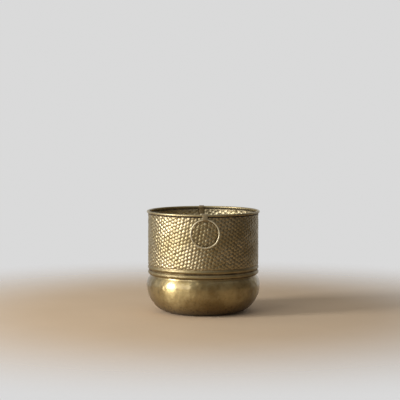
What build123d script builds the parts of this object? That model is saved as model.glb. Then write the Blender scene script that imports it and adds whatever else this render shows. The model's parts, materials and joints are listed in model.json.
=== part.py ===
from build123d import *
import os
from math import acos, asin, atan2, cos, degrees, hypot, radians, sin, sqrt

# Cachepot of antique brass sheet: a hammered straight wall with a wired rim,
# two swaged beads at the waist, a spun bowl below, and a ring handle front and rear.
# Millimetres. The pot's axis is Z, its foot stands on z = 0, its front handle faces -Y.

# Pot
pot_height = 184.4         # foot to the top of the rolled rim
wall_diameter = 200.0      # outside of the hammered wall
wall_sheet = 1.0
bowl_sheet = 1.2

# Rolled rim and the wire inside it
roll_diameter = 4.4
rim_overhang = 2.4         # how far the roll stands out from the wall
joggle_height = 3.4        # height over which the wall steps in to centre the roll
roll_wrap = 255.0          # degrees of sheet wrapped round the wire
wire_clearance = 0.3

# Waist beads
waist_height = 82.0        # foot to the crest of the upper bead
bead_pitch = 8.7
bead_stand = 0.4           # crest of a bead outside the wall
groove_depth = 1.9         # groove between the beads, below the wall
groove_radius = 1.2        # outside bend radius in that groove and in the neck
flute_depth = 0.7          # shallow groove over the upper bead, below the wall
flute_radius = 2.2         # outside bend radius in the shallow groove
neck_depth = 3.6           # groove over the bowl, below the wall
skirt_height = 0.3         # plain edge of the wall under its last groove

# Bowl
bulge_overhang = 2.6       # widest part of the bowl outside the wall
bulge_height = 50.0
base_diameter = 116.0      # where the bowl's curve meets the foot
collar_height = 10.0       # neck of the bowl inside the wall
solder_gap = 0.1
shoulder_radius = 0.6      # outside bend radius where the collar turns into the shoulder
lower_turn = 45.0          # degrees turned by the upper of the two arcs below the bulge
foot_width = 8.0
dish_depth = 1.5
dish_bend_radius = 4.0

# Ring handles
ring_diameter = 52.8       # outside
ring_wire = 3.0
strap_width = 9.0
strap_sheet = 0.9
strap_fit = 0.15
eye_play = 0.15            # least room between a ring and its eye
eye_gap = 1.8              # between the roll and the eye
eye_wall_gap = 0.35        # between the eye and the wall
eye_wrap = 250.0           # degrees of strap wrapped round the ring

# Rivets
rivet_shank = 3.0
rivet_head = 5.0
rivet_head_height = 1.2
rivet_tail_head = 4.4
rivet_tail_height = 0.6
rivet_gap = 2.4            # between the eye and the rivet's outer head
rivet_edge = 5.0           # rivet centre to the end of the strap
hole_clearance = 0.05

# Wall and rim places, as radius and height
wall_radius = wall_diameter / 2
wall_mid = wall_radius - wall_sheet / 2
roll_radius = roll_diameter / 2
roll_mid = roll_radius - wall_sheet / 2
roll_r = wall_radius + rim_overhang - roll_radius
roll_z = pot_height - roll_radius
joggle_z = roll_z - joggle_height

# Strap places: a flat strap across a round wall stands clear by the wall's bow
strap_bow = wall_radius - sqrt(wall_radius**2 - (strap_width / 2) ** 2)
hook_mid = roll_radius + strap_bow + strap_fit + strap_sheet / 2
tail_r = wall_radius - wall_sheet - strap_bow - strap_fit - strap_sheet / 2
tail_offset = wall_mid - tail_r

# Ring and eye: the ring's own curve across the strap needs the bow as room in the eye
ring_mid = (ring_diameter - ring_wire) / 2
ring_bow = ring_mid - sqrt(ring_mid**2 - (strap_width / 2) ** 2)
eye_bore = ring_wire / 2 + ring_bow + eye_play
eye_mid = eye_bore + strap_sheet / 2
eye_outer = eye_bore + strap_sheet
eye_r = wall_radius + eye_wall_gap + eye_outer
eye_z = roll_z - roll_radius - eye_gap - eye_outer
ring_z = eye_z - ring_mid

# Rivet places
rivet_z = eye_z - eye_outer - rivet_gap - rivet_tail_head / 2
tail_z = rivet_z - rivet_edge


def bend_pair(run, step):
    # Two arcs that bend away and back: the sum of their radii and the turn of each.
    radius_sum = (run**2 + step**2) / (2 * step)
    return radius_sum, 2 * degrees(atan2(step, run))


def turn_for(step, radius_sum):
    return degrees(acos(1 - step / radius_sum))


def arc_on(line, radius, turn):
    return JernArc(line @ 1, line % 1, radius, turn)


# Rim: the wall steps in on its way up to the roll, and a strap's tail follows it
joggle_step = roll_diameter - wall_sheet - rim_overhang
joggle_sum, joggle_turn = bend_pair(joggle_height, joggle_step)

# Waist: bead and groove arcs follow each other, a groove's bend is the outside one
groove_mid = groove_radius + wall_sheet / 2
wave_sum, wave_turn = bend_pair(bead_pitch / 2, bead_stand + groove_depth)
bead_mid = wave_sum - groove_mid
neck_turn = turn_for(bead_stand + neck_depth, wave_sum)
flute_mid = flute_radius + wall_sheet / 2
flute_turn = turn_for(bead_stand + flute_depth, bead_mid + flute_mid)
wall_turn = turn_for(flute_depth, bead_mid + flute_mid)
seam_z = waist_height - bead_pitch - wave_sum * sin(radians(neck_turn)) - skirt_height
neck_mid = wall_mid - neck_depth

with BuildPart() as hammered_wall:
    with BuildSketch(Plane.XZ):
        with BuildLine():
            skirt = Line((neck_mid, seam_z), (neck_mid, seam_z + skirt_height))
            neck = arc_on(skirt, groove_mid, -neck_turn)
            lower_bead = arc_on(neck, bead_mid, neck_turn + wave_turn)
            groove = arc_on(lower_bead, groove_mid, -2 * wave_turn)
            upper_bead = arc_on(groove, bead_mid, wave_turn + flute_turn)
            flute = arc_on(upper_bead, flute_mid, -flute_turn - wall_turn)
            foot_of_wall = arc_on(flute, bead_mid, wall_turn)
            straight = Line(foot_of_wall @ 1, (wall_mid, joggle_z))
            step_in = arc_on(straight, joggle_sum / 2, joggle_turn)
            step_up = arc_on(step_in, joggle_sum / 2, -joggle_turn)
            arc_on(step_up, roll_mid, -roll_wrap)
        trace(line_width=wall_sheet)
    revolve(axis=Axis.Z)
    with BuildSketch(Plane.XZ):
        with Locations((0, rivet_z)):
            Circle(rivet_shank / 2 + hole_clearance)
    extrude(amount=wall_diameter, both=True, mode=Mode.SUBTRACT)

# Bowl: the collar slips inside the wall's skirt, the shoulder turns out under it
collar_outer = wall_radius - neck_depth - wall_sheet - solder_gap
collar_mid = collar_outer - bowl_sheet / 2
bulge_radius = wall_radius + bulge_overhang
shoulder_sum, shoulder_turn = bend_pair(seam_z - bulge_height, bulge_radius - collar_outer)
shoulder_mid = shoulder_radius + bowl_sheet / 2
# Flank and heel share the quarter turn from the upright bulge to the level foot
heel_turn = 90 - lower_turn
lower_run = bulge_radius - base_diameter / 2
lower_sin = sin(radians(lower_turn))
lower_cos = cos(radians(lower_turn))
lower_scale = lower_sin + lower_cos - 1
flank_mid = (bulge_height * lower_cos - lower_run * (1 - lower_sin)) / lower_scale - bowl_sheet / 2
heel_mid = (lower_run * lower_sin - bulge_height * (1 - lower_cos)) / lower_scale - bowl_sheet / 2
dish_turn = turn_for(dish_depth, 2 * dish_bend_radius)
foot_z = bowl_sheet / 2

with BuildPart() as spun_bowl:
    with BuildSketch(Plane.XZ):
        with BuildLine():
            collar = Line((collar_mid, seam_z + collar_height), (collar_mid, seam_z))
            shoulder_foot = arc_on(collar, shoulder_mid, shoulder_turn)
            shoulder = arc_on(shoulder_foot, shoulder_sum - shoulder_mid, -shoulder_turn)
            flank = arc_on(shoulder, flank_mid, -lower_turn)
            heel = arc_on(flank, heel_mid, -heel_turn)
            foot = Line(heel @ 1, (base_diameter / 2 - foot_width, foot_z))
            dish_rise = arc_on(foot, dish_bend_radius, -dish_turn)
            dish_level = arc_on(dish_rise, dish_bend_radius, dish_turn)
            Line(dish_level @ 1, (0, foot_z + dish_depth))
        trace(line_width=bowl_sheet)
    revolve(axis=Axis.Z)

with BuildPart() as rim_wire:
    with BuildSketch(Plane.XZ):
        with Locations((roll_r, roll_z)):
            Circle(roll_radius - wall_sheet - wire_clearance)
    revolve(axis=Axis.Z)

# The strap's front leg is the common tangent of its bend over the roll and its eye
eye_reach = hypot(eye_r - roll_r, eye_z - roll_z)
leg_lean = degrees(asin((eye_mid - hook_mid) / eye_reach))
leg_heading = degrees(atan2(eye_z - roll_z, eye_r - roll_r)) + leg_lean
leg_length = sqrt(eye_reach**2 - (eye_mid - hook_mid) ** 2)


def strap(plane):
    # One bent strip: riveted tail inside, over the rim, down the front, round the ring.
    with BuildPart() as strip:
        with BuildSketch(plane):
            with BuildLine():
                tail = Line((tail_r, tail_z), (tail_r, joggle_z))
                tail_in = arc_on(tail, joggle_sum / 2 - tail_offset, joggle_turn)
                tail_up = arc_on(tail_in, joggle_sum / 2 + tail_offset, -joggle_turn)
                hook = arc_on(tail_up, hook_mid, leg_heading - 90)
                leg = Line(hook @ 1, (hook @ 1) + (hook % 1) * leg_length)
                arc_on(leg, eye_mid, -eye_wrap)
            trace(line_width=strap_sheet)
        extrude(amount=strap_width / 2, both=True)
        with BuildSketch(Plane.XZ):
            with Locations((0, rivet_z)):
                Circle(rivet_shank / 2 + hole_clearance)
        extrude(amount=wall_diameter, both=True, mode=Mode.SUBTRACT)
    return strip.part


def ring(plane):
    with BuildPart() as hoop:
        with BuildSketch(plane):
            with Locations((eye_r, eye_z)):
                Circle(ring_wire / 2)
        revolve(axis=Axis((0, 0, ring_z), plane.x_dir))
    return hoop.part


def dome_arc(tip, base_radius, height, side):
    # Arc of a low dome from its tip on the rivet's axis to its edge.
    radius = (base_radius**2 + height**2) / (2 * height)
    turn = degrees(asin(base_radius / radius))
    return JernArc((tip, rivet_z), (0, 1), radius, side * turn)


def rivet(plane):
    tail_face = tail_r - strap_sheet / 2
    with BuildPart() as pin:
        with BuildSketch(plane):
            with BuildLine():
                tip_in = tail_face - rivet_head_height
                tip_out = wall_radius + rivet_tail_height
                head = dome_arc(tip_in, rivet_head / 2, rivet_head_height, -1)
                tail_head = dome_arc(tip_out, rivet_tail_head / 2, rivet_tail_height, 1)
                Polyline(
                    head @ 1,
                    (tail_face, rivet_z + rivet_shank / 2),
                    (wall_radius, rivet_z + rivet_shank / 2),
                    tail_head @ 1,
                )
                Line((tip_in, rivet_z), (tip_out, rivet_z))
            make_face()
        revolve(axis=Axis((0, 0, rivet_z), plane.x_dir))
    return pin.part


pieces = {
    "hammered_wall": hammered_wall.part,
    "spun_bowl": spun_bowl.part,
    "rim_wire": rim_wire.part,
}
outward = {"front": (0, -1, 0), "rear": (0, 1, 0)}
for side, direction in outward.items():
    radial = Plane(origin=(0, 0, 0), x_dir=direction, z_dir=Vector(direction).cross(Vector(0, 0, 1)))
    pieces[f"{side}_strap"] = strap(radial)
    pieces[f"{side}_ring"] = ring(radial)
    pieces[f"{side}_rivet"] = rivet(radial)

os.makedirs("parts", exist_ok=True)
for name, piece in pieces.items():
    piece.label = name
    export_step(piece, f"parts/{name}.step")
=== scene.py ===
import json
import math

import bmesh
import bpy
from mathutils import Matrix, Vector, noise


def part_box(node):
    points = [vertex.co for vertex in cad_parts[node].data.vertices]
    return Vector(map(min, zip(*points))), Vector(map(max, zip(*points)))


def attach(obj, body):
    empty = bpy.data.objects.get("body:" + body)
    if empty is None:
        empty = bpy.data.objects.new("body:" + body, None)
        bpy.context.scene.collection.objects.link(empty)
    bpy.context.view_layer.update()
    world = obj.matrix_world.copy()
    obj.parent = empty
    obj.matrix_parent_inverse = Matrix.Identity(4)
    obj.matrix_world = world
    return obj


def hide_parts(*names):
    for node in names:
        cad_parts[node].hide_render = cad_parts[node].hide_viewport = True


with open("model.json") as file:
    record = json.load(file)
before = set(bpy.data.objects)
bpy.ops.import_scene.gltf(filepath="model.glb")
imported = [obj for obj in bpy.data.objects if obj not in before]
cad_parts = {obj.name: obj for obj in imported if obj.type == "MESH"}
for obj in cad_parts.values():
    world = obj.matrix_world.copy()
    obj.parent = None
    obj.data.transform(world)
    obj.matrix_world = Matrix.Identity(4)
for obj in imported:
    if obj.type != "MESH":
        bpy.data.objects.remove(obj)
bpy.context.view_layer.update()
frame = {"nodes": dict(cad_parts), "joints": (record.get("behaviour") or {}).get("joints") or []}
scene = bpy.context.scene
scene.view_settings.view_transform = "Standard"
mm = 0.001
print("frame loaded:", len(frame["nodes"]), "nodes")

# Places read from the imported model
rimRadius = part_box("hammered_wall")[1].x
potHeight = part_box("hammered_wall")[1].z
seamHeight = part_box("hammered_wall")[0].z
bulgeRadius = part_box("spun_bowl")[1].x
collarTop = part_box("spun_bowl")[1].z
eyePlace = [abs(v) for v in frame["joints"][0]["pos_m"]]
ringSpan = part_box("front_ring")[1].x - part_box("front_ring")[0].x
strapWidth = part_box("front_strap")[1].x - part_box("front_strap")[0].x
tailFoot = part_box("front_strap")[0].z

# Sheets of the pot, and how far its rim stands out from the wall
pot = {
    "rimStand": 2.4 * mm,
    "wallSheet": 1.0 * mm,
    "bowlSheet": 1.2 * mm,
}
wallRadius = rimRadius - pot["rimStand"]
wallMid = wallRadius - pot["wallSheet"] / 2
sides = {"front": -1, "rear": 1}


class Field:
    # A node socket that takes part in Python sums
    def __init__(self, graph, socket):
        self.graph = graph
        self.socket = socket

    def __add__(self, other):
        return self.graph.math("ADD", self, other)

    def __sub__(self, other):
        return self.graph.math("SUBTRACT", self, other)

    def __rsub__(self, other):
        return self.graph.math("SUBTRACT", other, self)

    def __mul__(self, other):
        return self.graph.math("MULTIPLY", self, other)

    def __truediv__(self, other):
        return self.graph.math("DIVIDE", self, other)

    __radd__ = __add__
    __rmul__ = __mul__


class Graph:
    # One node tree: add() makes any node, settings first and sockets after
    def __init__(self, tree):
        self.tree = tree

    def add(self, kind, settings=None, sockets=None, out=0):
        made = self.tree.nodes.new(kind)
        for key, value in (settings or {}).items():
            setattr(made, key, value)
        for key, value in (sockets or {}).items():
            self.feed(made.inputs[key], value)
        return Field(self, made.outputs[out]) if made.outputs else made

    def feed(self, socket, value):
        if isinstance(value, Field):
            self.tree.links.new(value.socket, socket)
        else:
            socket.default_value = value

    def math(self, operation, *values):
        return self.add("ShaderNodeMath", {"operation": operation}, dict(enumerate(values)))

    def vector(self, operation, *values, out=0):
        return self.add("ShaderNodeVectorMath", {"operation": operation}, dict(enumerate(values)), out)

    def smooth(self, value, low, high):
        return self.add(
            "ShaderNodeMapRange", {"interpolation_type": "SMOOTHSTEP"},
            {"Value": value, "From Min": low, "From Max": high, "To Min": 0.0, "To Max": 1.0})

    def scale(self, direction, length):
        return self.add("ShaderNodeVectorMath", {"operation": "SCALE"}, {0: direction, "Scale": length})

    def grain(self, place, scale, detail, rough=0.5):
        return self.add("ShaderNodeTexNoise", None,
                        {"Vector": place, "Scale": scale, "Detail": detail, "Roughness": rough})

    def mixColour(self, share, first, second):
        return self.add("ShaderNodeMix", {"data_type": "RGBA"}, {0: share, 6: first, 7: second}, out=2)


# Brass finishes

def colour(red, green, blue):
    return (red, green, blue, 1.0)


def newMaterial(name):
    material = bpy.data.materials.new(name)
    material.use_nodes = True
    material.node_tree.nodes.clear()
    return material, Graph(material.node_tree)


brass = {
    "bright": colour(0.44, 0.36, 0.21),
    "deep": colour(0.31, 0.24, 0.11),
    # patina colour, also used for painted shade in creases, grooves and behind the rings
    "patinaAndShade": colour(0.12, 0.07, 0.028),
    # dark crust colour, also used as painted shade under the roll
    "sootAndShade": colour(0.022, 0.014, 0.008),
    "coat": 0.45,                 # old lacquer, worn in places
    "coatRough": 0.17,
    "mottleGrain": (6.0, 0.55),   # detail and roughness of each grain
    "speckGrain": (3.0, 0.7),
    "markGrain": (3.0, 0.6),
    "dentGrain": (2.0, 0.5),
    "mottleEdges": (0.36, 0.66),
    "speckEdges": (0.5, 0.72),
    "crustAndShadeEdges": (0.6, 1.0),     # dirt and painted shade thick enough to hide the metal under a dark crust
    "crustAndShadeRough": 0.2,
    "crustAndShadeDull": 0.8,
    "valleyMottle": 0.45,         # share of the dirt and painted shade in low places that is patchy
    "brushTurn": 0.25,
}


def brassFinish(name, look):
    # Antique brass: mottled metal, brown patina in the low places, painted shade in creases, grooves and
    # behind the rings, fine dents and rubbing marks
    material, g = newMaterial(name)
    place = g.add("ShaderNodeTexCoord", out="Object")
    mottle = g.smooth(g.grain(place, look["mottleScale"], *brass["mottleGrain"]), *brass["mottleEdges"])
    specks = g.smooth(g.grain(place, look["speckScale"], *brass["speckGrain"]), *brass["speckEdges"])
    tone = g.mixColour(mottle * look["mottle"], look.get("bright", brass["bright"]),
                       look.get("deep", brass["deep"]))
    dirtAndShade = specks * look["specks"]
    if "valley" in look:
        relief = g.add("ShaderNodeAttribute", {"attribute_name": "relief"}, out="Fac")
        low = 1 - g.smooth(relief, *look["valley"])
        patchy = (1 - brass["valleyMottle"]) + mottle * brass["valleyMottle"]
        dirtAndShade = dirtAndShade + low * look["valleyDirtAndShade"] * patchy
    if "grimeAndShade" in look:
        dirtAndShade = dirtAndShade + g.add("ShaderNodeAttribute", {"attribute_name": "grimeAndShade"}, out="Fac") * look["grimeAndShade"]
    # This share also carries painted shade: the rings' shadow, the shade under the roll and in the grooves;
    # where it is thick, a dark crust of painted shade and grime covers the metal
    dirtAndShade = g.math("MINIMUM", dirtAndShade, 1.0)
    crustAndShade = g.smooth(dirtAndShade, *brass["crustAndShadeEdges"])
    worn = g.mixColour(dirtAndShade, tone, brass["patinaAndShade"])
    metal = g.mixColour(crustAndShade, worn, brass["sootAndShade"])
    rough = look["rough"] + mottle * look["roughSpread"] + dirtAndShade * look["roughDirt"]
    rough = rough + crustAndShade * brass["crustAndShadeRough"]

    # Rubbing marks run round the pot on turned pieces
    stretched = g.vector("MULTIPLY", place, look.get("rubStretch", (1.0, 1.0, 1.0)))
    marks = g.grain(stretched, look["markScale"], *brass["markGrain"])
    dents = g.grain(place, look["dentScale"], *brass["dentGrain"])
    bump = g.add("ShaderNodeBump", None,
                 {"Strength": look["bump"], "Distance": look["bumpHeight"],
                  "Height": marks * look["markShare"] + dents * (1 - look["markShare"])})
    shader = g.add("ShaderNodeBsdfPrincipled", None,
                   {"Base Color": metal, "Roughness": rough, "Normal": bump,
                    "Metallic": look.get("metallic", 1.0) * (1 - crustAndShade * brass["crustAndShadeDull"]),
                    "Coat Weight": (1 - dirtAndShade) * look.get("coat", brass["coat"]),
                    "Coat Roughness": brass["coatRough"],
                    "Anisotropic": look.get("brushed", 0.0), "Anisotropic Rotation": brass["brushTurn"]})
    g.add("ShaderNodeOutputMaterial", None, {"Surface": shader})
    return material


beatenLook = {
    "mottleScale": 28.0, "mottle": 0.8, "speckScale": 420.0, "grimeAndShade": 1.0,
    "roughSpread": 0.08, "roughDirt": 0.16,
    "markScale": 900.0, "dentScale": 260.0, "markShare": 0.5, "bump": 0.5, "bumpHeight": 0.08 * mm,
}
# On the beads and the rim, the darkening of low places is painted shade in the grooves and in the crease
# under the roll
swagedLook = {
    "mottleScale": 45.0, "mottle": 0.8, "speckScale": 520.0,
    "valley": (0.0, 0.5), "valleyDirtAndShade": 0.85, "roughSpread": 0.08, "roughDirt": 0.18,
    "rubStretch": (0.3, 0.3, 1.0), "markScale": 700.0, "dentScale": 190.0, "markShare": 0.4,
    "bump": 0.5, "bumpHeight": 0.10 * mm,
}
finishes = {
    "hammered": {
        **beatenLook, "coat": 0.3, "specks": 0.16,
        "valley": (0.06, 0.5), "valleyDirtAndShade": 0.66, "rough": 0.36,
    },
    # Painted light: a lighter copy of the outer wall's brass, so the shaded inside of the pot reads
    # brighter
    "inside": {
        **beatenLook, "bright": colour(0.58, 0.49, 0.30), "deep": colour(0.46, 0.37, 0.19), "specks": 0.12,
        "valley": (0.0, 0.4), "valleyDirtAndShade": 0.7, "rough": 0.42,
    },
    "rolled": {
        **swagedLook, "bright": colour(0.36, 0.29, 0.16), "deep": colour(0.26, 0.20, 0.09),
        "coat": 0.15, "specks": 0.25, "rough": 0.40,
    },
    "rubbed": {
        **swagedLook, "bright": colour(0.46, 0.38, 0.21), "deep": colour(0.36, 0.28, 0.14),
        "coat": 0.3, "specks": 0.2, "rough": 0.38,
    },
    "spun": {
        "bright": colour(0.46, 0.36, 0.17), "deep": colour(0.27, 0.19, 0.07), "coat": 0.62,
        "mottleScale": 32.0, "mottle": 0.9, "speckScale": 260.0, "specks": 0.22,
        "grimeAndShade": 1.0, "brushed": 0.75,
        "rough": 0.42, "roughSpread": 0.08, "roughDirt": 0.1,
        "rubStretch": (0.06, 0.06, 1.0), "markScale": 900.0, "dentScale": 110.0, "markShare": 0.2,
        "bump": 1.0, "bumpHeight": 0.35 * mm,
    },
    "drawn": {
        "metallic": 0.6, "coat": 0.3,
        "bright": colour(0.62, 0.54, 0.36), "deep": colour(0.51, 0.43, 0.26),
        "mottleScale": 90.0, "mottle": 0.7, "speckScale": 700.0, "specks": 0.15,
        "rough": 0.38, "roughSpread": 0.08, "roughDirt": 0.12,
        "markScale": 800.0, "dentScale": 300.0, "markShare": 0.5, "bump": 0.4, "bumpHeight": 0.06 * mm,
    },
    "folded": {
        "bright": colour(0.34, 0.26, 0.14), "deep": colour(0.26, 0.18, 0.08), "metallic": 0.75,
        "mottleScale": 110.0, "mottle": 0.9, "speckScale": 600.0, "specks": 0.25,
        "rough": 0.38, "roughSpread": 0.10, "roughDirt": 0.16,
        "rubStretch": (1.0, 1.0, 0.2), "markScale": 900.0, "dentScale": 300.0, "markShare": 0.5,
        "bump": 0.5, "bumpHeight": 0.06 * mm,
    },
}
materials = {name: brassFinish(name + "Brass", look) for name, look in finishes.items()}


steel = {
    "bright": colour(0.46, 0.45, 0.43),
    "dull": colour(0.30, 0.28, 0.25),
    "grainScale": 600.0,
    "grainDetail": 4.0,
    "rough": 0.25,
    "roughSpread": 0.2,
}


def steelFinish(name):
    material, g = newMaterial(name)
    place = g.add("ShaderNodeTexCoord", out="Object")
    drawn = g.grain(place, steel["grainScale"], steel["grainDetail"])
    metal = g.mixColour(drawn, steel["bright"], steel["dull"])
    rough = steel["rough"] + drawn * steel["roughSpread"]
    shader = g.add("ShaderNodeBsdfPrincipled", None,
                   {"Base Color": metal, "Roughness": rough, "Metallic": 1.0})
    g.add("ShaderNodeOutputMaterial", None, {"Surface": shader})
    return material


materials["steel"] = steelFinish("drawnSteel")
print("finishes made:", len(materials))


# Shared mesh helpers
crispAngle = 35.0                 # edges that turn more than this stay crisp
foldCrispAngle = 50.0
weldReach = 1e-7


def bendPair(run, step):
    # Two arcs that bend away and back: the sum of their radii and the turn of each
    return (run**2 + step**2) / (2 * step), 2 * math.degrees(math.atan2(step, run))


def turnFor(step, radiusSum):
    return math.degrees(math.acos(1 - step / radiusSum))


def tracePath(start, heading, bends, arcStep=7.0, runStep=2.5 * mm):
    # Middle line of a bent sheet as (radius, height, left normal); a bend is (radius, turn) or (0, length)
    r, z = start
    angle = math.radians(heading)
    points = [(r, z, angle)]
    for radius, size in bends:
        count = max(1, math.ceil(abs(size) / (arcStep if radius else runStep)))
        for _ in range(count):
            if radius:
                turn = math.radians(size) / count
                side = math.copysign(radius, turn)
                r += side * (math.sin(angle + turn) - math.sin(angle))
                z -= side * (math.cos(angle + turn) - math.cos(angle))
                angle += turn
            else:
                r += size / count * math.cos(angle)
                z += size / count * math.sin(angle)
            points.append((r, z, angle))
    return [(r, z, Vector((-math.sin(a), math.cos(a)))) for r, z, a in points]


def sheetLoop(path, sheet):
    # Closed outline of a sheet of even thickness along its middle line
    right = [(r - n.x * sheet / 2, z - n.y * sheet / 2) for r, z, n in path]
    left = [(r + n.x * sheet / 2, z + n.y * sheet / 2) for r, z, n in path]
    return right + left[::-1]


def makePiece(name, points, faces, crisp=crispAngle):
    mesh = bpy.data.meshes.new(name)
    mesh.from_pydata(points, [], faces)
    work = bmesh.new()
    work.from_mesh(mesh)
    bmesh.ops.remove_doubles(work, verts=work.verts, dist=weldReach)
    bmesh.ops.recalc_face_normals(work, faces=work.faces)
    work.to_mesh(mesh)
    work.free()
    mesh.shade_smooth()
    mesh.set_sharp_from_angle(angle=math.radians(crisp))
    piece = bpy.data.objects.new(name, mesh)
    scene.collection.objects.link(piece)
    return piece


def spin(name, loop, columns, uneven=None):
    # Turns a closed outline about the pot's axis; uneven gives how far a point leaves it
    points, faces = [], []
    count = len(loop)
    for i in range(columns):
        angle = 2 * math.pi * i / columns
        out = Vector((math.cos(angle), math.sin(angle), 0))
        for r, z in loop:
            point = out * max(r, 0.0) + Vector((0, 0, z))
            points.append(point + uneven(point, out) if uneven else point)
    for i in range(columns):
        here, after = i * count, (i + 1) % columns * count
        for j in range(count):
            k = (j + 1) % count
            faces.append((here + j, after + j, after + k, here + k))
    return makePiece(name, points, faces)


def setShare(piece, title, share):
    # Keeps a share from 0 to 1 at each point: its relief, its grime and painted shade, or how fully it is
    # beaten
    kept = piece.data.attributes.new(title, "FLOAT", "POINT")
    for vertex, place in zip(piece.data.vertices, kept.data):
        place.value = share(vertex)


def smoothStep(value, low, high):
    t = min(1.0, max(0.0, (value - low) / (high - low)))
    return t * t * (3 - 2 * t)


def finishPiece(piece, material, body, slot, *nodes):
    if not piece.data.materials:
        piece.data.materials.append(material)
    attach(piece, body)
    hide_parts(*nodes)
    print("piece:", piece.name, len(piece.data.polygons), "faces")


# Geometry Nodes helpers

def nodeTree(name, inputs):
    tree = bpy.data.node_groups.new(name, "GeometryNodeTree")
    tree.interface.new_socket("Geometry", in_out="INPUT", socket_type="NodeSocketGeometry")
    for title, kind in inputs.items():
        tree.interface.new_socket(title, in_out="INPUT", socket_type="NodeSocket" + kind)
    tree.interface.new_socket("Geometry", in_out="OUTPUT", socket_type="NodeSocketGeometry")
    g = Graph(tree)
    entry = tree.nodes.new("NodeGroupInput")
    return g, {socket.name: Field(g, socket) for socket in entry.outputs if socket.name}


def closeTree(g, geometry, material):
    solid = g.add("GeometryNodeRealizeInstances", None, {"Geometry": geometry})
    painted = g.add("GeometryNodeSetMaterial", None, {"Geometry": solid, "Material": material})
    g.add("NodeGroupOutput", None, {"Geometry": painted})


def growNodes(piece, g, values, crisp=crispAngle):
    # Runs the tree on the piece and keeps the result as its plain mesh
    modifier = piece.modifiers.new(g.tree.name, "NODES")
    modifier.node_group = g.tree
    sockets = {item.name: item.identifier for item in g.tree.interface.items_tree if item.in_out == "INPUT"}
    for title, value in values.items():
        modifier[sockets[title]] = value
    bpy.context.view_layer.update()
    grown = piece.evaluated_get(bpy.context.evaluated_depsgraph_get())
    mesh = bpy.data.meshes.new_from_object(grown)
    mesh.name = piece.name
    piece.modifiers.remove(modifier)
    piece.data = mesh
    mesh.shade_smooth()
    mesh.set_sharp_from_angle(angle=math.radians(crisp))
    return piece


# Waist: two swaged beads up to the flute over them, and the skirt over the bowl's collar
waist = {
    "beadPitch": 8.7 * mm,
    "beadStand": 0.4 * mm,
    "grooveDepth": 1.9 * mm,
    "grooveRadius": 1.2 * mm,
    "fluteDepth": 0.7 * mm,
    "fluteRadius": 2.2 * mm,
    "fluteRise": 2.9 * mm,        # from the bottom of the flute to the plain wall
    # painted shade in the flute over the beads
    "fluteShade": 0.75,
    "neckDepth": 3.6 * mm,
    "skirtHeight": 0.3 * mm,
    "scribeDepth": 0.35 * mm,     # fine line round the lower bead
    "scribeWidth": 0.9 * mm,
    "scribeRise": 0.8 * mm,       # above the bead's crest
    "columns": 360,
    "arcStep": 4.0,
    "shake": 0.10 * mm,           # hand-work unevenness, which ends before the seams
    "shakeSize": 16.0 * mm,
    "topCalm": 3.0 * mm,
    "footCalm": 4.0 * mm,
}


def waistBends():
    grooveMid = waist["grooveRadius"] + pot["wallSheet"] / 2
    waveSum, waveTurn = bendPair(waist["beadPitch"] / 2, waist["beadStand"] + waist["grooveDepth"])
    beadMid = waveSum - grooveMid
    neckTurn = turnFor(waist["beadStand"] + waist["neckDepth"], waveSum)
    fluteMid = waist["fluteRadius"] + pot["wallSheet"] / 2
    fluteTurn = turnFor(waist["beadStand"] + waist["fluteDepth"], beadMid + fluteMid)
    return [
        (0, waist["skirtHeight"]),
        (grooveMid, -neckTurn),
        (beadMid, neckTurn + waveTurn),
        (grooveMid, -2 * waveTurn),
        (beadMid, waveTurn + fluteTurn),
        (fluteMid, -fluteTurn),
    ]


waistPath = tracePath((wallMid - waist["neckDepth"], seamHeight), 90, waistBends(), waist["arcStep"])
waistTop = waistPath[-1][1]
lowerCrest = max(waistPath[:len(waistPath) // 2])[1]
upperCrest = lowerCrest + waist["beadPitch"]


def waistUneven(point, out):
    share = smoothStep(waistTop - point.z, 0, waist["topCalm"])
    share *= smoothStep(point.z - seamHeight, 0, waist["footCalm"])
    scribe = (point.z - lowerCrest - waist["scribeRise"]) / (waist["scribeWidth"] / 2)
    line = waist["scribeDepth"] * math.exp(-scribe**2)
    return out * (noise.noise(point / waist["shakeSize"]) * waist["shake"] * share - line)


# Painted shade: darker in the flute and down into the grooves between the beads
def waistGrooveShade(vertex):
    r = vertex.co.xy.length
    if vertex.co.z > upperCrest:
        return 1 - waist["fluteShade"] * smoothStep(wallRadius - r, 0, waist["fluteDepth"])
    return smoothStep(r, wallRadius - waist["grooveDepth"], wallRadius + waist["beadStand"])


waistBand = spin("waistBand", sheetLoop(waistPath, pot["wallSheet"]), waist["columns"], waistUneven)
setShare(waistBand, "relief", waistGrooveShade)
finishPiece(waistBand, materials["rolled"], "pot", "hammered_brass", "hammered_wall")


# Rim: the wall steps in and rolls out over its wire
rim = {
    "rollDiameter": 4.4 * mm,
    "joggleHeight": 3.4 * mm,
    "rollWrap": 255.0,
    "columns": 420,
    "arcStep": 9.0,
    "shake": 0.12 * mm,
    "shakeSize": 22.0 * mm,
    "footCalm": 2.0 * mm,
    "creaseDrop": (0.8 * mm, 2.0 * mm),     # below the roll's centre: where the painted shade begins and is full
    "creaseReach": (-2.0 * mm, -1.0 * mm),  # the same, out from the wall's face
}
rollCentre = potHeight - rim["rollDiameter"] / 2
joggleFoot = rollCentre - rim["joggleHeight"]
joggleStep = rim["rollDiameter"] - pot["wallSheet"] - pot["rimStand"]
joggleSum, joggleTurn = bendPair(rim["joggleHeight"], joggleStep)
joggleMiddle = tracePath((wallMid, joggleFoot), 90, [(joggleSum / 2, joggleTurn)])[-1]
rimPath = tracePath(joggleMiddle[:2], 90 + joggleTurn, [
    (joggleSum / 2, -joggleTurn),
    ((rim["rollDiameter"] - pot["wallSheet"]) / 2, -rim["rollWrap"]),
], rim["arcStep"])


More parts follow.
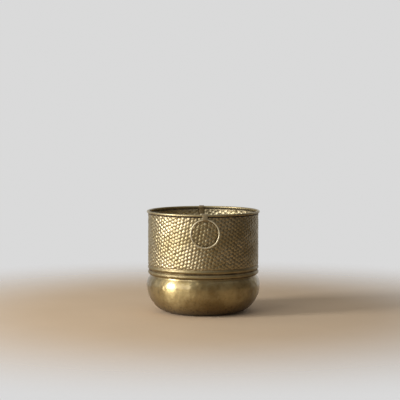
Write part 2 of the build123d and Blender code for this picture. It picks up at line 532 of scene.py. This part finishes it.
def rimUneven(point, out):
    share = smoothStep(point.z, joggleMiddle[1], joggleMiddle[1] + rim["footCalm"])
    return out * noise.noise(point / rim["shakeSize"]) * rim["shake"] * share


def rimCreaseShade(vertex):
    # The crease under the roll gets painted shade, the roll itself is rubbed clean
    underRoll = smoothStep(rollCentre - vertex.co.z, *rim["creaseDrop"])
    nearWall = smoothStep(vertex.co.xy.length - wallRadius, *rim["creaseReach"])
    return 1 - underRoll * nearWall


rolledRim = spin("rolledRim", sheetLoop(rimPath, pot["wallSheet"]), rim["columns"], rimUneven)
setShare(rolledRim, "relief", rimCreaseShade)
finishPiece(rolledRim, materials["rubbed"], "pot", "hammered_brass", "hammered_wall")


# Wire of the ring handles
ring = {
    "wireRadius": 1.5 * mm,
    "around": 168,
    "section": 20,
    "shake": 0.10 * mm,
    "shakeScale": 90.0,
}
ringRadius = ringSpan / 2 - ring["wireRadius"]


# Hammered wall: an outer and an inner skin that carry the same hammer marks
hammer = {
    "columnsAround": 100,         # the blows stand in leaning columns
    "columnMarks": 17,
    "columnRise": 39 / 100,       # share of a mark by which each column starts above the last
    "markRise": 6.6 * mm,
    "lean": 0.17,
    "markReach": 4.4 * mm,
    "markLift": 1.5 * mm,
    "valleyShare": 0.18,          # height of the lowest places between marks
    "scatter": 0.85 * mm,         # how far a blow lands from its place
    "wander": 1.4 * mm,           # how far the columns stray up and down
    "wanderScale": 22.0,
    "unequal": 0.32,              # how much blows differ in strength
    "seed": 11,
    "footFade": 1.2 * mm,
    # painted shade in the flute, at the foot of the marks
    "footDarkening": 0.45,
    "footDarkeningHeight": 2.2 * mm,
    "outerFade": (0.0 * mm, 1.0 * mm),   # below the roll: where the marks begin and are full
    "innerFade": (2.2 * mm, 3.8 * mm),
    "underRollShade": (1.8 * mm, 3.0 * mm),   # below the roll: where the painted shade begins to thin and ends
    "creaseShade": 0.6,            # painted shade: a dark line inside, where the wall steps in to the roll
    "creaseDrop": 3.7 * mm,
    "creaseWidth": 1.3 * mm,
    "ringShadow": 0.45,             # painted shadow of the ring, a band on the wall just inside where it hangs
    "ringShadowInset": 2.5 * mm,
    "ringShadowWidth": 1.4 * mm,
    "rivetRise": 5.0 * mm,        # a rivet's axis above the end of its strap
    "headSpot": (2.4 * mm, 4.4 * mm),    # flat spots: where the marks begin and are full
    "eyeSpot": (5.0 * mm, 7.0 * mm),
    "eyeSpotDrop": (7.5 * mm, 10.0 * mm),
    "seat": (5.6 * mm, 7.6 * mm),
    "seatDrop": (0.8 * mm, 2.8 * mm),
    "outerColumns": 800,
    "outerRows": 110,
    "innerColumns": 510,
    "innerRows": 78,
    "outerSink": 0.77,            # share of the lift by which the marks lie below the plain wall
    "innerSink": 1.0,
    "back": 0.95 * mm,            # plain surface between the two skins, below the outer one
}
zoneFoot = waistTop
zoneTop = joggleMiddle[1]
plainFoot = zoneFoot + waist["fluteRise"]
rivetHeight = tailFoot + hammer["rivetRise"]


def hammerTree():
    g, socket = nodeTree("hammerMarks", {
        "Columns": "Int", "Column Marks": "Int", "Column Rise": "Float", "Mark Rise": "Float",
        "First Mark": "Float", "Lean": "Float", "Skin Radius": "Float", "Mark Reach": "Float",
        "Mark Lift": "Float", "Valley": "Float", "Sink": "Float", "Scatter": "Float",
        "Wander": "Float", "Wander Scale": "Float", "Unequal": "Float",
        "Seed": "Int", "Material": "Material"})
    index = g.add("GeometryNodeInputIndex")
    column = g.math("FLOOR", index / socket["Column Marks"])
    rank = index - column * socket["Column Marks"] + g.math("FRACT", column * socket["Column Rise"])

    def chance(offset, low, high, key=index):
        return g.add("FunctionNodeRandomValue", {"data_type": "FLOAT"},
                     {2: low, 3: high, "ID": key, "Seed": socket["Seed"] + offset}, out=1)

    radius = socket["Skin Radius"]
    slip = chance(1, -1.0, 1.0) * socket["Scatter"] / radius
    climb = rank * socket["Mark Rise"]
    turn = column * (2 * math.pi) / socket["Columns"] + climb * socket["Lean"] / radius + slip
    east, north = radius * g.math("COSINE", turn), radius * g.math("SINE", turn)
    level = socket["First Mark"] + climb
    aim = g.add("ShaderNodeCombineXYZ", None, {0: east, 1: north, 2: level})
    drift = g.grain(aim, socket["Wander Scale"], 1.0)
    strayed = level + (drift - 0.5) * socket["Wander"] * 2.0 + chance(2, -1.0, 1.0) * socket["Scatter"]
    spot = g.add("ShaderNodeCombineXYZ", None, {0: east, 1: north, 2: strayed})
    marks = g.add("GeometryNodePoints", None,
                  {"Count": socket["Columns"] * socket["Column Marks"], "Position": spot})

    # Each point of the skin rises by its nearest mark's dome
    here = g.add("GeometryNodeInputPosition")
    flat = g.vector("MULTIPLY", here, (1.0, 1.0, 0.0))
    out = g.vector("NORMALIZE", flat)
    height = g.add("ShaderNodeSeparateXYZ", None, {0: here}, out="Z")
    upright = g.add("ShaderNodeCombineXYZ", None, {2: height})
    skin = g.vector("ADD", g.scale(out, radius), upright)
    nearest = g.add("GeometryNodeSampleNearest", {"domain": "POINT"},
                    {"Geometry": marks, "Sample Position": skin})
    centre = g.add("GeometryNodeSampleIndex", {"data_type": "FLOAT_VECTOR", "domain": "POINT"},
                   {"Geometry": marks, "Value": here, "Index": nearest})
    gap = g.vector("DISTANCE", skin, centre, out="Value") / socket["Mark Reach"]
    strength = 1 - socket["Unequal"] * chance(3, 0.0, 1.0, nearest)
    dome = g.math("MAXIMUM", 1 - gap * gap, socket["Valley"]) * strength
    beaten = g.add("GeometryNodeInputNamedAttribute", {"data_type": "FLOAT"}, {"Name": "beaten"})
    lift = (dome * socket["Mark Lift"] - socket["Sink"]) * beaten
    shift = g.scale(out, lift)
    relief = 1 - beaten * (1 - dome)
    kept = g.add("GeometryNodeStoreNamedAttribute", {"data_type": "FLOAT", "domain": "POINT"},
                 {"Geometry": socket["Geometry"], "Name": "relief", "Value": relief})
    moved = g.add("GeometryNodeSetPosition", None, {"Geometry": kept, "Offset": shift})
    closeTree(g, moved, socket["Material"])
    return g


def beatenOutside(x, z):
    # Flat spot round a rivet's head and behind a strap's eye
    head = smoothStep(math.hypot(x, z - rivetHeight), *hammer["headSpot"])
    behindEye = max(smoothStep(abs(x), *hammer["eyeSpot"]), smoothStep(zoneTop - z, *hammer["eyeSpotDrop"]))
    return min(head, behindEye)


def beatenInside(x, z):
    # Flat seat under a strap's riveted tail
    return max(smoothStep(abs(x), *hammer["seat"]), smoothStep(tailFoot - z, *hammer["seatDrop"]))


# Painted shade in the flute at the foot of the marks
def footShade(z):
    return hammer["footDarkening"] * (1 - smoothStep(z - zoneFoot, 0, hammer["footDarkeningHeight"]))


# Painted shade on the outer wall: the ring's shadow, the shade under the roll and in the flute
def outerPaintedShade(x, z):
    reach = math.hypot(x, z - eyePlace[2] + ringRadius) - ringRadius + hammer["ringShadowInset"]
    behindRing = hammer["ringShadow"] * math.exp(-(reach / hammer["ringShadowWidth"])**2)
    underRoll = 1 - smoothStep(zoneTop - z, *hammer["underRollShade"])
    return max(behindRing, underRoll, footShade(z))


# Painted shade on the inner wall: a line under the step in to the roll, and in the flute
def innerPaintedShade(x, z):
    reach = zoneTop - z - hammer["creaseDrop"]
    crease = hammer["creaseShade"] * math.exp(-(reach / hammer["creaseWidth"])**2)
    return max(crease, footShade(z))


def stepIn(z):
    # How far the wall stands in at a height, in the flute and on its way to the roll
    flute = waist["fluteDepth"] * (1 - smoothStep(z, zoneFoot, plainFoot))
    rise = max(0.0, z - joggleFoot)
    return flute + joggleSum / 2 - math.sqrt((joggleSum / 2)**2 - rise**2)


def bandSkin(name, skin):
    # Closed band between two radii: a fine grid on its face, a plain surface at its back
    face, back, rows = skin["face"], wallRadius - hammer["back"], skin["rows"]
    heights = [zoneFoot + (zoneTop - zoneFoot) * j / rows for j in range(rows + 1)]
    curved = [z for z in heights if z > joggleFoot or z < plainFoot]
    loop = [(face - stepIn(z), z) for z in heights] + [(back - stepIn(z), z) for z in reversed(curved)]
    piece = spin(name, loop, skin["columns"])

    def struck(vertex):
        x, y, z = vertex.co
        if abs(math.hypot(x, y) + stepIn(z) - face) >= abs(face - back) / 2:
            return 0.0
        ends = smoothStep(z - zoneFoot, 0, hammer["footFade"]) * smoothStep(zoneTop - z, *skin["fade"])
        return ends * skin["spared"](x, z)

    setShare(piece, "beaten", struck)
    setShare(piece, "grimeAndShade", lambda vertex: skin["paintedShade"](vertex.co.x, vertex.co.z))
    return piece


marksGraph = hammerTree()
skins = {
    "hammeredOuter": {
        "face": wallRadius,
        "columns": hammer["outerColumns"], "rows": hammer["outerRows"],
        "sink": hammer["outerSink"], "fade": hammer["outerFade"],
        "spared": beatenOutside, "paintedShade": outerPaintedShade, "finish": materials["hammered"],
    },
    "hammeredInner": {
        "face": wallRadius - pot["wallSheet"],
        "columns": hammer["innerColumns"], "rows": hammer["innerRows"],
        "sink": hammer["innerSink"], "fade": hammer["innerFade"],
        "spared": beatenInside, "paintedShade": innerPaintedShade, "finish": materials["inside"],
    },
}
for name, skin in skins.items():
    band = growNodes(bandSkin(name, skin), marksGraph, {
        "Columns": hammer["columnsAround"], "Column Marks": hammer["columnMarks"],
        "Column Rise": hammer["columnRise"], "Mark Rise": hammer["markRise"],
        "First Mark": zoneFoot - hammer["markRise"], "Lean": hammer["lean"],
        "Skin Radius": wallRadius, "Mark Reach": hammer["markReach"],
        "Mark Lift": hammer["markLift"], "Valley": hammer["valleyShare"],
        "Sink": hammer["markLift"] * skin["sink"], "Scatter": hammer["scatter"],
        "Wander": hammer["wander"], "Wander Scale": hammer["wanderScale"],
        "Unequal": hammer["unequal"], "Seed": hammer["seed"], "Material": skin["finish"]})
    finishPiece(band, skin["finish"], "pot", "hammered_brass", "hammered_wall")


# Bowl: collar, shoulder, bulge and flat foot with a raised floor
bowl = {
    "bulgeHeight": 50.0 * mm,
    "baseRadius": 58.0 * mm,
    "collarHeight": collarTop - seamHeight,
    "solderGap": 0.1 * mm,
    "shoulderRadius": 0.6 * mm,
    "lowerTurn": 45.0,
    "footWidth": 8.0 * mm,
    "dishDepth": 1.5 * mm,
    "dishBend": 4.0 * mm,
    "columns": 340,
    "arcStep": 2.0,
    "runStep": 4.0 * mm,
    "shake": 0.48 * mm,           # hand-smoothed waves, which end before foot and seam
    "shakeSize": 10.0 * mm,
    "ripple": 0.5,                # finer waves on the broad ones
    "rippleRate": 2.3,
    "footCalm": (4.0 * mm, 16.0 * mm),
    "seamCalm": 5.0 * mm,
    # darker towards the bottom outside
    "footDarkening": 0.82,
    "footDarkeningHeight": 46.0 * mm,
    "floorDirt": 0.3,             # inside, where water stands
    "floorDirtHeight": 22.0 * mm,
}


def bowlPath():
    sheet = pot["bowlSheet"]
    collarOuter = wallRadius - waist["neckDepth"] - pot["wallSheet"] - bowl["solderGap"]
    shoulderSum, shoulderTurn = bendPair(seamHeight - bowl["bulgeHeight"], bulgeRadius - collarOuter)
    shoulderMid = bowl["shoulderRadius"] + sheet / 2
    run = bulgeRadius - bowl["baseRadius"]
    across = math.sin(math.radians(bowl["lowerTurn"]))
    along = math.cos(math.radians(bowl["lowerTurn"]))
    flank = (bowl["bulgeHeight"] * along - run * (1 - across)) / (across + along - 1)
    heel = (run * across - bowl["bulgeHeight"] * (1 - along)) / (across + along - 1)
    dishTurn = turnFor(bowl["dishDepth"], 2 * bowl["dishBend"])
    dishRun = 2 * bowl["dishBend"] * math.sin(math.radians(dishTurn))
    return tracePath((collarOuter - sheet / 2, collarTop), -90, [
        (0, bowl["collarHeight"]),
        (shoulderMid, shoulderTurn),
        (shoulderSum - shoulderMid, -shoulderTurn),
        (flank - sheet / 2, -bowl["lowerTurn"]),
        (heel - sheet / 2, bowl["lowerTurn"] - 90),
        (0, bowl["footWidth"]),
        (bowl["dishBend"], -dishTurn),
        (bowl["dishBend"], dishTurn),
        (0, bowl["baseRadius"] - bowl["footWidth"] - dishRun),
    ], bowl["arcStep"], bowl["runStep"])


def bowlUneven(point, out):
    share = smoothStep(point.z, *bowl["footCalm"]) * smoothStep(seamHeight - point.z, 0, bowl["seamCalm"])
    spot = point / bowl["shakeSize"]
    wave = noise.noise(spot) + bowl["ripple"] * noise.noise(spot * bowl["rippleRate"])
    return out * wave * bowl["shake"] * share


# Darker towards the bottom outside; inside, a stain where water stands
def bowlDarkening(vertex):
    out = Vector((vertex.co.x, vertex.co.y, 0)).normalized()
    if vertex.normal.dot(out) > vertex.normal.z:
        return bowl["footDarkening"] * (1 - smoothStep(vertex.co.z, 0, bowl["footDarkeningHeight"]))
    return bowl["floorDirt"] * (1 - smoothStep(vertex.co.z, 0, bowl["floorDirtHeight"]))


spunBowl = spin("spunBowl", sheetLoop(bowlPath(), pot["bowlSheet"]), bowl["columns"], bowlUneven)
setShare(spunBowl, "grimeAndShade", bowlDarkening)
finishPiece(spunBowl, materials["spun"], "pot", "spun_brass", "spun_bowl")


# Solder: a thin fillet that closes the seam between the skirt and the shoulder
solder = {
    "climb": 0.5 * mm,            # up the skirt
    "spread": 1.1 * mm,           # out over the shoulder
    "bury": 0.4 * mm,
    "steps": 6,
    "columns": 240,
}


def solderLoop():
    skirt = wallRadius - waist["neckDepth"]
    path = bowlPath()
    outer = [(r + n.x * pot["bowlSheet"] / 2, z + n.y * pot["bowlSheet"] / 2) for r, z, n in path]
    shoulder = [place for place in outer if bowl["bulgeHeight"] < place[1] < seamHeight]
    edge = min(shoulder, key=lambda place: abs(place[0] - skirt - solder["spread"]))
    top = (skirt, seamHeight + solder["climb"])
    corner = (skirt, edge[1] + (edge[0] - skirt))
    loop = []
    for i in range(solder["steps"] + 1):
        t = i / solder["steps"]
        shares = ((1 - t)**2, 2 * t * (1 - t), t**2)
        loop.append(tuple(sum(s * v for s, v in zip(shares, row)) for row in zip(top, corner, edge)))
    return loop + [(edge[0] - solder["bury"], edge[1] - solder["bury"]), (skirt - solder["bury"], top[1])]


solderSeam = spin("solderSeam", solderLoop(), solder["columns"])
finishPiece(solderSeam, materials["spun"], "pot", "spun_brass", "spun_bowl")


# Ring handles: bent wire, grown round by nodes

def ringTree():
    g, socket = nodeTree("ringWire", {
        "Ring Radius": "Float", "Wire Radius": "Float", "Around": "Int", "Section": "Int",
        "Shake": "Float", "Shake Scale": "Float", "Place": "Vector", "Material": "Material"})
    hoop = g.add("GeometryNodeCurvePrimitiveCircle", {"mode": "RADIUS"},
                 {"Resolution": socket["Around"], "Radius": socket["Ring Radius"]})
    section = g.add("GeometryNodeCurvePrimitiveCircle", {"mode": "RADIUS"},
                    {"Resolution": socket["Section"], "Radius": socket["Wire Radius"]})
    wire = g.add("GeometryNodeCurveToMesh", None, {"Curve": hoop, "Profile Curve": section})
    hung = g.add("GeometryNodeTransform", None,
                 {"Geometry": wire, "Translation": socket["Place"], "Rotation": (math.pi / 2, 0.0, 0.0)})
    here = g.add("GeometryNodeInputPosition")
    wave = g.grain(here, socket["Shake Scale"], 1.0)
    normal = g.add("GeometryNodeInputNormal")
    shift = g.scale(normal, (wave - 0.5) * socket["Shake"] * 2.0)
    worn = g.add("GeometryNodeSetPosition", None, {"Geometry": hung, "Offset": shift})
    closeTree(g, worn, socket["Material"])
    return g


ringGraph = ringTree()
for side, outward in sides.items():
    hoop = makePiece(side + "RingWire", [], [])
    growNodes(hoop, ringGraph, {
        "Ring Radius": ringRadius, "Wire Radius": ring["wireRadius"], "Around": ring["around"],
        "Section": ring["section"], "Shake": ring["shake"], "Shake Scale": ring["shakeScale"],
        "Place": (0.0, outward * eyePlace[1], eyePlace[2] - ringRadius), "Material": materials["drawn"]})
    finishPiece(hoop, materials["drawn"], side + "_handle", "ring_brass", side + "_ring")


# Straps: one folded strip each, riveted inside, over the rim and round the ring
strap = {
    "sheet": 0.9 * mm,
    "fit": 0.15 * mm,
    "eyePlay": 0.15 * mm,
    "eyeWrap": 250.0,
    "cornerRound": 0.28 * mm,
    "cornerSteps": 3,
    "arcStep": 8.0,
    "runStep": 1.2 * mm,
    "edgeShake": 0.12 * mm,
    "edgeShakeSize": 4.0 * mm,
}
strapBow = wallRadius - math.sqrt(wallRadius**2 - (strapWidth / 2)**2)
tailRadius = wallRadius - pot["wallSheet"] - strapBow - strap["fit"] - strap["sheet"] / 2


def strapPath():
    rollRadius = rim["rollDiameter"] / 2
    rollR = rimRadius - rollRadius
    hookMid = rollRadius + strapBow + strap["fit"] + strap["sheet"] / 2
    ringBow = ringRadius - math.sqrt(ringRadius**2 - (strapWidth / 2)**2)
    eyeMid = ring["wireRadius"] + ringBow + strap["eyePlay"] + strap["sheet"] / 2
    eyeR, eyeZ = eyePlace[1], eyePlace[2]
    reach = math.hypot(eyeR - rollR, eyeZ - rollCentre)
    lean = math.degrees(math.asin((eyeMid - hookMid) / reach))
    legHeading = math.degrees(math.atan2(eyeZ - rollCentre, eyeR - rollR)) + lean
    legLength = math.sqrt(reach**2 - (eyeMid - hookMid)**2)
    tailOffset = wallMid - tailRadius
    return tracePath((tailRadius, tailFoot), 90, [
        (0, joggleFoot - tailFoot),
        (joggleSum / 2 - tailOffset, joggleTurn),
        (joggleSum / 2 + tailOffset, -joggleTurn),
        (hookMid, legHeading - 90),
        (0, legLength),
        (eyeMid, -strap["eyeWrap"]),
    ], strap["arcStep"], strap["runStep"])


def stripSection():
    # Rounded rectangle: across the strap and through its sheet
    bend = strap["cornerRound"]
    halfWidth, halfSheet = strapWidth / 2 - bend, strap["sheet"] / 2 - bend
    corners = [(1, -1, -90), (1, 1, 0), (-1, 1, 90), (-1, -1, 180)]
    section = []
    for sideways, through, start in corners:
        for step in range(strap["cornerSteps"] + 1):
            angle = math.radians(start + 90 * step / strap["cornerSteps"])
            section.append((sideways * halfWidth + bend * math.cos(angle),
                            through * halfSheet + bend * math.sin(angle)))
    return section


def foldStrap(name, outward):
    section = stripSection()
    points, faces = [], []
    path = strapPath()
    for r, z, n in path:
        for across, through in section:
            wave = noise.noise(Vector((r, z, across)) / strap["edgeShakeSize"])
            edge = 1 + strap["edgeShake"] / strapWidth * wave
            points.append((across * edge * -outward, outward * (r + n.x * through), z + n.y * through))
    count = len(section)
    for i in range(len(path) - 1):
        for j in range(count):
            k = (j + 1) % count
            faces.append((i * count + j, i * count + k, (i + 1) * count + k, (i + 1) * count + j))
    faces.append(tuple(range(count)))
    faces.append(tuple(range(len(points) - count, len(points))))
    return makePiece(name, points, faces, foldCrispAngle)


for side, outward in sides.items():
    strip = foldStrap(side + "FoldedStrap", outward)
    finishPiece(strip, materials["folded"], "pot", "strap_brass", side + "_strap")


# Rivets: a domed head inside and a low hammered tail outside, set at each strap by nodes
rivet = {
    "shank": 3.0 * mm,
    "head": 5.0 * mm,
    "headHeight": 1.2 * mm,
    "tailHead": 4.4 * mm,
    "tailHeight": 0.6 * mm,
    "columns": 32,
    "domeSteps": 7,
}


def rivetMesh():
    # Outline from the inner tip to the outer one, turned about the rivet's own axis
    inner = tailRadius - strap["sheet"] / 2
    outer = wallRadius
    steps = [math.pi / 2 * i / rivet["domeSteps"] for i in range(rivet["domeSteps"] + 1)]
    outline = [(inner - rivet["headHeight"] * math.cos(a), rivet["head"] / 2 * math.sin(a)) for a in steps]
    outline += [(inner, rivet["shank"] / 2), (outer, rivet["shank"] / 2)]
    outline += [(outer + rivet["tailHeight"] * math.cos(a), rivet["tailHead"] / 2 * math.sin(a))
                for a in reversed(steps)]
    points, faces = [], []
    for i in range(rivet["columns"]):
        angle = 2 * math.pi * i / rivet["columns"]
        for r, off in outline:
            points.append((off * math.cos(angle), -r, rivetHeight + off * math.sin(angle)))
    count = len(outline)
    for i in range(rivet["columns"]):
        here, after = i * count, (i + 1) % rivet["columns"] * count
        for j in range(count - 1):
            faces.append((here + j, after + j, after + j + 1, here + j + 1))
    return makePiece("strapRivets", points, faces, foldCrispAngle)


def rivetTree():
    g, socket = nodeTree("rivetPair", {"Count": "Int", "Material": "Material"})
    index = g.add("GeometryNodeInputIndex")
    sites = g.add("GeometryNodePoints", None, {"Count": socket["Count"]})
    turn = g.add("ShaderNodeCombineXYZ", None, {2: index * (2 * math.pi) / socket["Count"]})
    placed = g.add("GeometryNodeInstanceOnPoints", None,
                   {"Points": sites, "Instance": socket["Geometry"], "Rotation": turn})
    closeTree(g, placed, socket["Material"])
    return g


rivetValues = {"Count": len(sides), "Material": materials["drawn"]}
rivets = growNodes(rivetMesh(), rivetTree(), rivetValues, foldCrispAngle)
finishPiece(rivets, materials["drawn"], "pot", "rivet_brass", "front_rivet", "rear_rivet")


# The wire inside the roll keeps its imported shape
wireNode = frame["nodes"]["rim_wire"]
wireNode.data.materials.clear()
wireNode.data.materials.append(materials["steel"])


# Stage: a pale round floor that fades into the backdrop
stage = {
    "floorRadius": 1.3,
    "fadeStart": 0.26,
    "fadeEnd": 0.85,
    "floor": colour(0.75, 0.56, 0.37),
    "floorShade": colour(0.69, 0.51, 0.33),
    "cloudScale": 9.0,
    "cloudDetail": 3.0,
    "matt": 0.85,
    "backdrop": colour(0.70, 0.70, 0.70),
    "ambient": colour(0.30, 0.30, 0.30),
    "roomShade": colour(0.034, 0.021, 0.012),
    "room": 0.06,                 # gloss sees a dim warm room in front of the pot
    "front": 0.17,                # and more of the backdrop on each of these sides
    "left": 0.30,
    "above": 0.65,
    "behind": 0.90,
    "frontEdges": (-0.2, -1.0),
    "leftEdges": (0.3, -0.9),
    "aboveEdges": (0.45, 1.0),
    "behindEdges": (0.2, 0.95),
    "columns": 96,
}


def floorFinish():
    material, g = newMaterial("paleFloor")
    place = g.add("ShaderNodeTexCoord", out="Object")
    distance = g.vector("LENGTH", place, out="Value")
    cloud = g.grain(place, stage["cloudScale"], stage["cloudDetail"])
    paint = g.mixColour(cloud, stage["floor"], stage["floorShade"])
    matt = g.add("ShaderNodeBsdfPrincipled", None, {"Base Color": paint, "Roughness": stage["matt"]})
    clear = g.add("ShaderNodeBsdfTransparent")
    gone = g.smooth(distance, stage["fadeStart"], stage["fadeEnd"])
    blend = g.add("ShaderNodeMixShader", None, {0: gone, 1: matt, 2: clear})
    g.add("ShaderNodeOutputMaterial", None, {"Surface": blend})
    return material


def makeFloor():
    count = stage["columns"]
    edge = [(stage["floorRadius"] * math.cos(2 * math.pi * i / count),
             stage["floorRadius"] * math.sin(2 * math.pi * i / count), 0.0) for i in range(count)]
    mesh = bpy.data.meshes.new("studioFloor")
    mesh.from_pydata(edge, [], [tuple(range(count))])
    mesh.materials.append(floorFinish())
    floor = bpy.data.objects.new("studioFloor", mesh)
    scene.collection.objects.link(floor)


def makeWorld():
    # The camera sees the pale backdrop; gloss sees it behind the pot and a dimmer room in front
    world = bpy.data.worlds.new("softStudio")
    world.use_nodes = True
    world.node_tree.nodes.clear()
    scene.world = world
    g = Graph(world.node_tree)
    rays = g.add("ShaderNodeLightPath").socket.node.outputs
    kinds = ("Is Camera Ray", "Is Glossy Ray", "Is Transmission Ray")
    camera, glossy, through = [Field(g, rays[kind]) for kind in kinds]
    towards = g.add("ShaderNodeTexCoord", out="Generated")
    axes = g.add("ShaderNodeSeparateXYZ", None, {0: towards}).socket.node.outputs
    across, ahead, up = [Field(g, axis) for axis in axes]
    behind = g.smooth(ahead, *stage["behindEdges"]) * stage["behind"]
    front = stage["room"] + g.smooth(ahead, *stage["frontEdges"]) * stage["front"]
    left = g.smooth(across, *stage["leftEdges"]) * stage["left"]
    above = g.smooth(up, *stage["aboveEdges"]) * stage["above"]
    dim = front + left + above
    level = g.math("MAXIMUM", dim, behind)
    mirrored = g.math("MINIMUM", glossy + through, 1.0)
    seen = g.mixColour(mirrored * (1 - level), stage["backdrop"], stage["roomShade"])
    shown = g.math("MINIMUM", camera + mirrored, 1.0)
    light = g.mixColour(shown, stage["ambient"], seen)
    surface = g.add("ShaderNodeBackground", None, {"Color": light, "Strength": 1.0})
    g.add("ShaderNodeOutputWorld", None, {"Surface": surface})


lampDistance = 2.6
lamps = {
    "key": {"azimuth": -71.0, "elevation": 15.0, "width": 0.75, "height": 1.5, "power": 57.0},
    "fill": {"azimuth": -40.0, "elevation": 18.0, "width": 1.2, "height": 1.5, "power": 18.0},
    "edge": {"azimuth": -104.0, "elevation": 20.0, "width": 1.0, "height": 1.8, "power": 4.0},
}


def hangLamp(name, lamp):
    light = bpy.data.lights.new(name, "AREA")
    light.shape = "RECTANGLE"
    light.size, light.size_y = lamp["width"], lamp["height"]
    light.energy = lamp["power"]
    turn, rise = math.radians(lamp["azimuth"]), math.radians(lamp["elevation"])
    away = Vector((math.sin(turn) * math.cos(rise), -math.cos(turn) * math.cos(rise), math.sin(rise)))
    holder = bpy.data.objects.new(name, light)
    holder.location = away * lampDistance + Vector((0, 0, potHeight / 2))
    holder.rotation_euler = (-away).to_track_quat("-Z", "Y").to_euler()
    scene.collection.objects.link(holder)


makeFloor()
makeWorld()
for name, lamp in lamps.items():
    hangLamp(name + "Lamp", lamp)
print("stage and lamps set")


# Camera at the photograph's viewing angle
viewpoint = {
    "lens": 135.0,
    "sensor": 36.0,
    "aside": -0.0059,
    "back": 2.7135,
    "height": 0.4004,
    "tilt": 4.167,
    "orbit": -1.67,
    "farthest": 50.0,
}


def makeCamera():
    data = bpy.data.cameras.new("photoCamera")
    data.lens = viewpoint["lens"]
    data.sensor_width = viewpoint["sensor"]
    data.clip_end = viewpoint["farthest"]
    camera = bpy.data.objects.new("photoCamera", data)
    turn = Matrix.Rotation(math.radians(viewpoint["orbit"]), 4, "Z")
    stand = Matrix.Translation((viewpoint["aside"], -viewpoint["back"], viewpoint["height"]))
    nod = Matrix.Rotation(math.radians(90 - viewpoint["tilt"]), 4, "X")
    camera.matrix_world = turn @ stand @ nod
    scene.collection.objects.link(camera)
    scene.camera = camera


makeCamera()
print("camera set")
